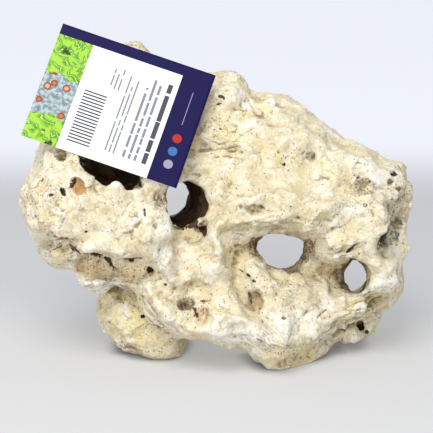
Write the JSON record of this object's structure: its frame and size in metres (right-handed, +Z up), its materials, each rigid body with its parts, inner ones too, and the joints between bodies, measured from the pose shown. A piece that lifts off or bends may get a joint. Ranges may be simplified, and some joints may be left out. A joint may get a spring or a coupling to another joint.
{
  "type": "aquarium cavity rock",
  "caption": "Pale porous limestone rock for an aquarium, with swim-through holes, a blind cave and worn pockets, standing on flat-cut feet, with a plain printed card at its upper left.",
  "frame": {"origin": "on the floor, under the middle of the box round the stone and its card", "axes": "+X along the stone's length, to the right as seen facing the broad side with the card; +Y to the back, away from that side; +Z up"},
  "size_m": [0.1897, 0.1015, 0.1606],
  "materials": {
    "limestone": "rough, dry and porous",
    "printed_card": "smooth satin print"
  },
  "bodies": {
    "root": {"stone": "limestone", "card": "printed_card"}
  },
  "joints": []
}
